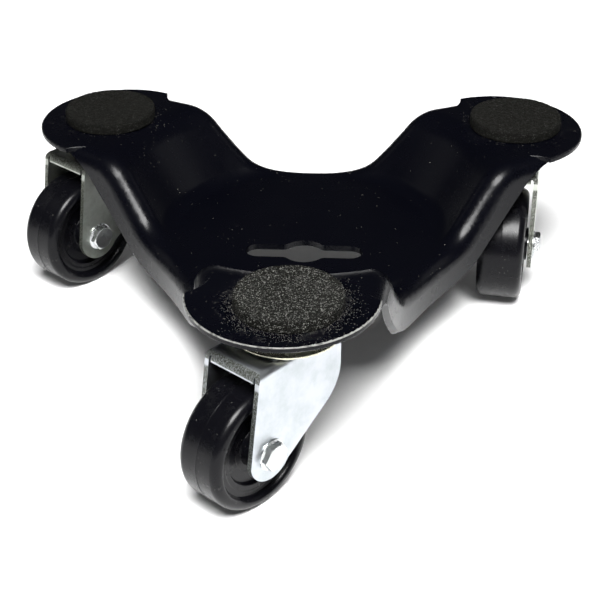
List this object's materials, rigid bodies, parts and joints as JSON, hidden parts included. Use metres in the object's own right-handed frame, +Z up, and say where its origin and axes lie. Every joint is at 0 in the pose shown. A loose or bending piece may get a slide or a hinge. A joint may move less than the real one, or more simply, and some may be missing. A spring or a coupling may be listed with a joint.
{
  "type": "furniture dolly",
  "caption": "Low dished steel furniture dolly with rounded arms, a carrying slot, foam grip pads on the arm ends and swivel casters beneath.",
  "frame": {"origin": "on the floor under the centre of the plate", "axes": "+Z up; the front arm, with the carrying slot, points along -Y; +X to the right seen from the front"},
  "size_m": [0.2506, 0.2347, 0.078],
  "materials": {
    "plate_paint": "gloss black baked enamel",
    "pad_foam": "matt closed-cell foam",
    "bearing_zinc": "bright zinc plate with a faint yellow cast",
    "fork_zinc": "bright zinc plate",
    "ball_steel": "polished ball steel",
    "wheel_plastic": "satin moulded",
    "bush_steel": "plain turned steel",
    "fastener_zinc": "bright zinc plate"
  },
  "bodies": {
    "dolly": {"base_plate": "plate_paint", "foam_pad_front": "pad_foam", "foam_pad_left": "pad_foam", "foam_pad_right": "pad_foam", "raceway_cup_front": "bearing_zinc", "kingpin_front": "bearing_zinc", "lower_race_front": "bearing_zinc", "raceway_cup_left": "bearing_zinc", "kingpin_left": "bearing_zinc", "lower_race_left": "bearing_zinc", "raceway_cup_right": "bearing_zinc", "kingpin_right": "bearing_zinc", "lower_race_right": "bearing_zinc"},
    "balls_front": {"upper_balls_front": "ball_steel", "lower_balls_front": "ball_steel"},
    "swivel_front": {"fork_front": "fork_zinc", "axle_bush_front": "bush_steel", "axle_bolt_front": "fastener_zinc", "axle_nut_front": "fastener_zinc"},
    "wheel_front": {"wheel_front": "wheel_plastic"},
    "balls_left": {"upper_balls_left": "ball_steel", "lower_balls_left": "ball_steel"},
    "swivel_left": {"fork_left": "fork_zinc", "axle_bush_left": "bush_steel", "axle_bolt_left": "fastener_zinc", "axle_nut_left": "fastener_zinc"},
    "wheel_left": {"wheel_left": "wheel_plastic"},
    "balls_right": {"upper_balls_right": "ball_steel", "lower_balls_right": "ball_steel"},
    "swivel_right": {"fork_right": "fork_zinc", "axle_bush_right": "bush_steel", "axle_bolt_right": "fastener_zinc", "axle_nut_right": "fastener_zinc"},
    "wheel_right": {"wheel_right": "wheel_plastic"}
  },
  "joints": [
    {"name": "swivel_front_turn", "type": "hinge", "parent": "dolly", "child": "swivel_front", "pos_m": [-0.00065, -0.1064, 0.0621], "axis": [0, 0, 1], "continuous": true},
    {"name": "wheel_front_roll", "type": "hinge", "parent": "swivel_front", "child": "wheel_front", "pos_m": [-0.01512, -0.12427, 0.0254], "axis": [0.7771, -0.6293, 0], "continuous": true},
    {"name": "balls_front_orbit", "type": "hinge", "parent": "dolly", "child": "balls_front", "pos_m": [-0.00065, -0.1064, 0.0621], "axis": [0, 0, 1], "continuous": true},
    {"name": "swivel_left_turn", "type": "hinge", "parent": "dolly", "child": "swivel_left", "pos_m": [-0.09215, 0.0532, 0.0621], "axis": [0, 0, 1], "continuous": true},
    {"name": "wheel_left_roll", "type": "hinge", "parent": "swivel_left", "child": "wheel_left", "pos_m": [-0.10637, 0.03513, 0.0254], "axis": [0.7859, -0.6184, 0], "continuous": true},
    {"name": "balls_left_orbit", "type": "hinge", "parent": "dolly", "child": "balls_left", "pos_m": [-0.09215, 0.0532, 0.0621], "axis": [0, 0, 1], "continuous": true},
    {"name": "swivel_right_turn", "type": "hinge", "parent": "dolly", "child": "swivel_right", "pos_m": [0.09215, 0.0532, 0.0621], "axis": [0, 0, 1], "continuous": true},
    {"name": "wheel_right_roll", "type": "hinge", "parent": "swivel_right", "child": "wheel_right", "pos_m": [0.08906, 0.03041, 0.0254], "axis": [0.991, -0.134, 0], "continuous": true},
    {"name": "balls_right_orbit", "type": "hinge", "parent": "dolly", "child": "balls_right", "pos_m": [0.09215, 0.0532, 0.0621], "axis": [0, 0, 1], "continuous": true}
  ],
  "couplings": [
    {"joint": "balls_front_orbit", "follows": "swivel_front_turn", "ratio": 0.5},
    {"joint": "balls_left_orbit", "follows": "swivel_left_turn", "ratio": 0.5},
    {"joint": "balls_right_orbit", "follows": "swivel_right_turn", "ratio": 0.5}
  ]
}
